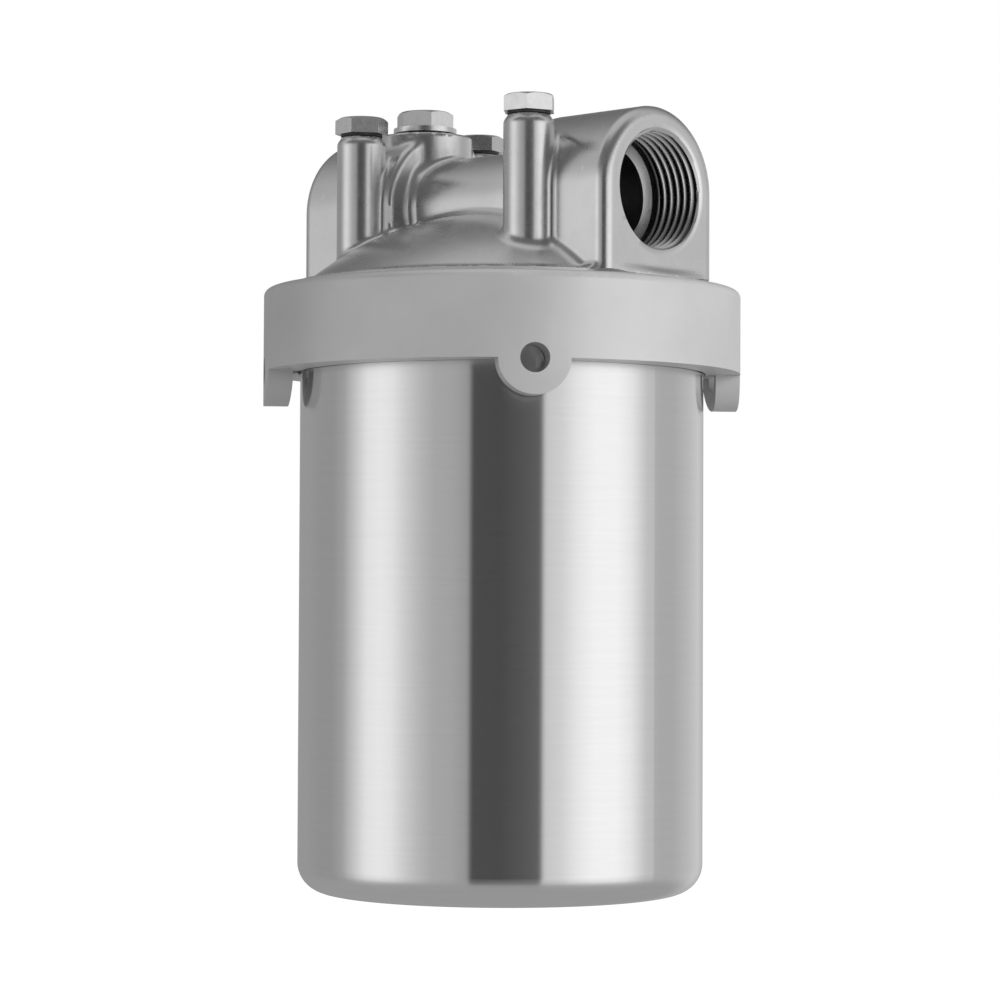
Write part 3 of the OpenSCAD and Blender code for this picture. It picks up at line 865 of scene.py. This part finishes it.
def head_finish(mesh):
    """The material of each face: cast, or cut where a tool would reach it, with the faces inside the ports' bores and
    passages given a low grey material as painted shade.
    """
    centres = np.empty(len(mesh.polygons) * 3)
    normals = np.empty(len(mesh.polygons) * 3)
    mesh.polygons.foreach_get("center", centres)
    mesh.polygons.foreach_get("normal", normals)
    x, y, z = (centres.reshape(-1, 3) / MM).T
    facing = np.abs(normals.reshape(-1, 3)[:, 0])
    r = np.hypot(x, y)
    port_r = np.hypot(y, z - PORT_Z)
    depth = np.abs(x) - PORT_FLOOR_X
    machined = (np.abs(np.abs(x) - FACE_X) < TOUCH) & (facing > FACING)
    machined |= (np.abs(z - BOSS_Z) < TOUCH) | (np.abs(z - COLUMN_Z) < TOUCH)
    machined |= np.abs(r - PILOT_R) < TOUCH
    machined |= z < SUMP_TOP_Z + BOTTOM_TOUCH
    in_port = port_r < LINER_R
    port_floor = in_port & (np.abs(depth) < FLOOR_DEPTH) & (facing > FLOOR_FACING)
    machined |= port_floor
    # painted shade: faces inside the ports' bores and passages take the low grey material
    bore_shade_mask = (port_r < PORT_BORE_R + BORE_TOUCH) | (in_port & (depth > WALL_DEPTH))
    turned = (np.abs(r - RIM_R) < RIM_TOUCH) & (z < FOOT_Z)
    finish = np.where(machined, MACHINED, CAST)
    finish = np.where(bore_shade_mask & ~port_floor, BORE_SHADE, finish)
    return np.where(turned, TURNED, finish)


def add_head(materials):
    vertices, quads = contour(head_distance, HEAD_LOW, HEAD_HIGH, HEAD_STEP)
    head = mesh_object("head_cast", vertices, quads, "head", HEAD_SHARP)
    for kind in ("cast", "machined", "bore", "ring"):
        head.data.materials.append(materials[kind])
    finish = head_finish(head.data)
    head.data.polygons.foreach_set("material_index", finish.astype(np.int32))
    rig.replaces(head, "head_casting")


# Port threads: a helical thread in a sleeve that fills the head's bore

THREAD_SIDES = 144
THREAD_ROWS = 12
# Shares of the pitch that the flat crest and the flat root take
CREST_SHARE = 0.15
ROOT_SHARE = 0.08
# The last stretch is plain, after a stretch over which the groove ends
PLAIN_END = 1.6
GROOVE_END = 0.8
MOUTH_SLOPE = 1.5
# How far the sleeve stands out of the head's face
SLEEVE_PROUD = 0.01
SLEEVE_SHARP = 35.0
# Vertices nearer than this, in metres, become one
WELD = 2e-6


def thread_radius(phase):
    """Radius over one pitch: a flat crest, then a V groove."""
    flank = (1.0 - CREST_SHARE - ROOT_SHARE) / 2
    depth = THREAD_MAJOR_R - THREAD_MINOR_R
    if phase < CREST_SHARE:
        return THREAD_MINOR_R
    if phase < CREST_SHARE + flank:
        return THREAD_MINOR_R + depth * (phase - CREST_SHARE) / flank
    if phase < CREST_SHARE + flank + ROOT_SHARE:
        return THREAD_MAJOR_R
    return THREAD_MAJOR_R - depth * (phase - CREST_SHARE - flank - ROOT_SHARE) / flank


def add_port_thread(name, side, materials):
    """A sleeve on the port axis, grooved inside by one helix. side is 1 for +X and -1 for -X."""
    length = FACE_X - PORT_FLOOR_X

    def place(angle, r, depth):
        x = FACE_X + SLEEVE_PROUD - depth
        return side * x, r * math.cos(angle), PORT_Z + side * r * math.sin(angle)

    vertices, faces = [], []
    rows = (int(length / THREAD_PITCH) + 3) * THREAD_ROWS + 1
    for i in range(THREAD_SIDES + 1):
        turn = i / THREAD_SIDES
        angle = 2 * math.pi * turn
        for j in range(rows):
            along = (j / THREAD_ROWS + turn - 1.0) * THREAD_PITCH
            depth = min(max(along, 0.0), length)
            r = thread_radius((j % THREAD_ROWS) / THREAD_ROWS)
            fade = min(max((length - PLAIN_END - depth) / GROOVE_END, 0.0), 1.0)
            r = THREAD_MINOR_R + (r - THREAD_MINOR_R) * fade
            mouth = MOUTH_R - depth * MOUTH_SLOPE
            vertices.append(place(angle, max(r, mouth) if along > 0 else mouth, depth))
    for i in range(THREAD_SIDES):
        for j in range(rows - 1):
            a = i * rows + j
            b = (i + 1) * rows + j
            faces.append((a, a + 1, b + 1, b))

    outside = ((MOUTH_R, 0.0), (LINER_R, 0.0), (LINER_R, length), (THREAD_MINOR_R, length))
    points = len(outside)
    first = len(vertices)
    for i in range(THREAD_SIDES):
        angle = 2 * math.pi * i / THREAD_SIDES
        for r, depth in outside:
            vertices.append(place(angle, r, depth))
    for i in range(THREAD_SIDES):
        k = (i + 1) % THREAD_SIDES
        for j in range(points - 1):
            a, b = first + i * points + j, first + k * points + j
            faces.append((b, b + 1, a + 1, a))

    sleeve = mesh_object(name, vertices, faces, "head", SLEEVE_SHARP)
    work = bmesh.new()
    work.from_mesh(sleeve.data)
    bmesh.ops.remove_doubles(work, verts=work.verts, dist=WELD)
    bmesh.ops.recalc_face_normals(work, faces=work.faces)
    work.to_mesh(sleeve.data)
    work.free()
    sleeve.data.set_sharp_from_angle(angle=math.radians(SLEEVE_SHARP))
    sleeve.data.materials.append(materials["thread"])


# Springs: the body and the joint, its travel in metres, and which end stays where it is

SPRINGS = {
    "cartridge_spring": ("bowl", "seat_press", 0.006, min),
    "bypass_spring": ("head", "bypass_lift", 0.004, max),
}


def add_springs():
    """Copies of the CAD springs that are pressed together as the seat or the valve moves."""
    for name, (body, joint, travel, fixed_end) in SPRINGS.items():
        mesh = nodes[name].data.copy()
        mesh.transform(nodes[name].matrix_world)
        coil = bpy.data.objects.new(name + "_coil", mesh)
        bpy.context.scene.collection.objects.link(coil)
        heights = [vertex.co.z for vertex in mesh.vertices]
        length = max(heights) - min(heights)
        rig.ride(coil, body)
        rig.replaces(coil, name)
        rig.squash(coil, joint, axis=(0, 0, 1), anchor=(0, 0, fixed_end(heights)),
                  keep=1 - travel / length)


add_camera()
add_world()
add_lamp()
add_floor()
materials = make_materials()
dress_nodes(materials)
add_head(materials)
add_port_thread("inlet_thread", 1, materials)
add_port_thread("outlet_thread", -1, materials)
add_springs()

model_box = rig.bounds()
with open("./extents.json", "w") as out:
    out.write("[%s, %s]" % tuple([[list(corner_) for corner_ in box] for box in (cad_box, model_box)]))
